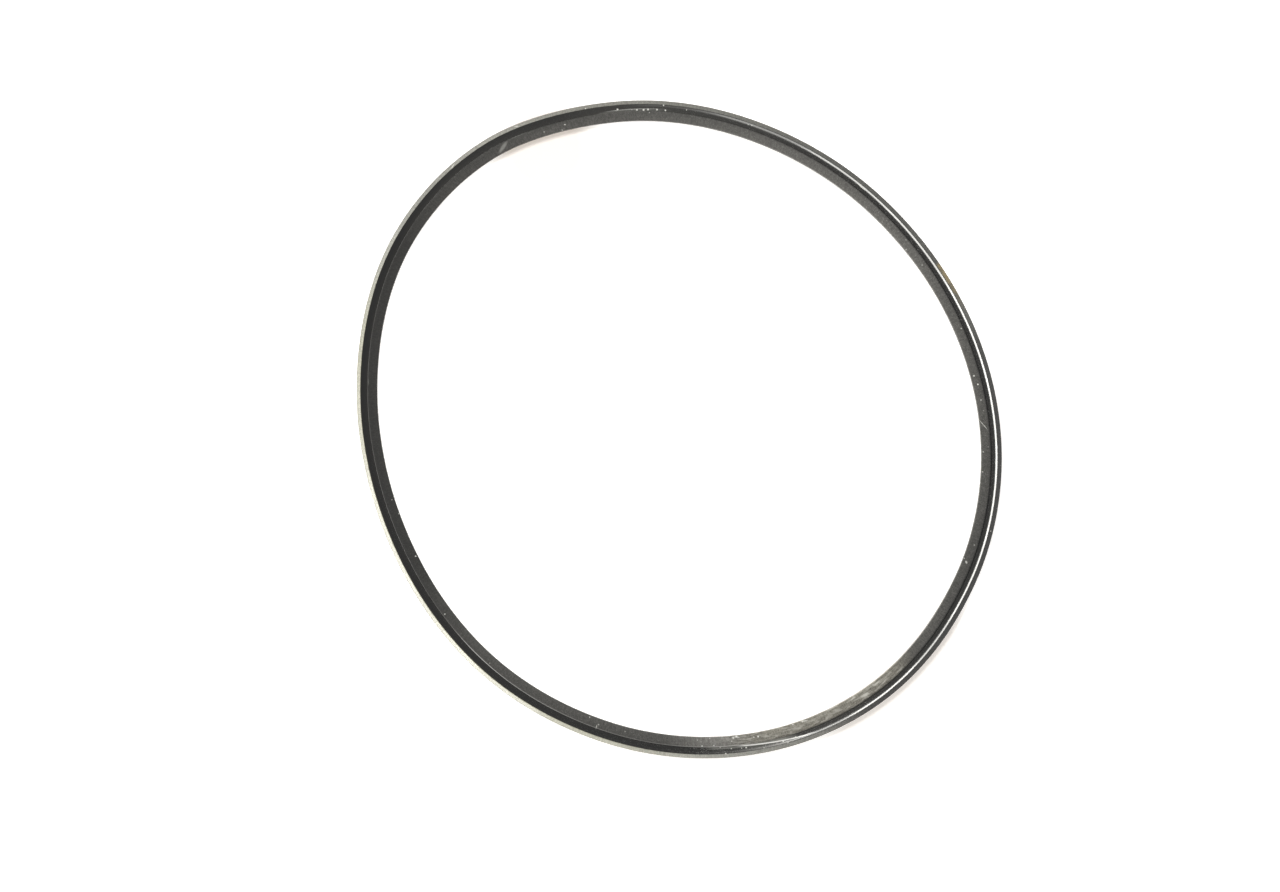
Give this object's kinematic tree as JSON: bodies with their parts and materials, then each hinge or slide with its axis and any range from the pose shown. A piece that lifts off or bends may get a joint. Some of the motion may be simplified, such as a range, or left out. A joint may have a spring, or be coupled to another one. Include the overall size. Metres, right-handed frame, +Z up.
{
  "type": "lip seal",
  "caption": "Slender one-piece rubber lip seal ring with a flat heel, a grooved top face and an outward sealing lip, lying free and slightly oval.",
  "frame": {"origin": "middle of the ring's outline, on the plane that its heel rests on", "axes": "+Z up out of the grooved face, +X along the long axis of the free oval"},
  "size_m": [0.2142, 0.193, 0.0048],
  "materials": {
    "seal_rubber": "moulded black rubber, dull on the land and the bevel and glossy in the groove"
  },
  "bodies": {
    "root": {"lip_seal": "seal_rubber"}
  },
  "joints": []
}
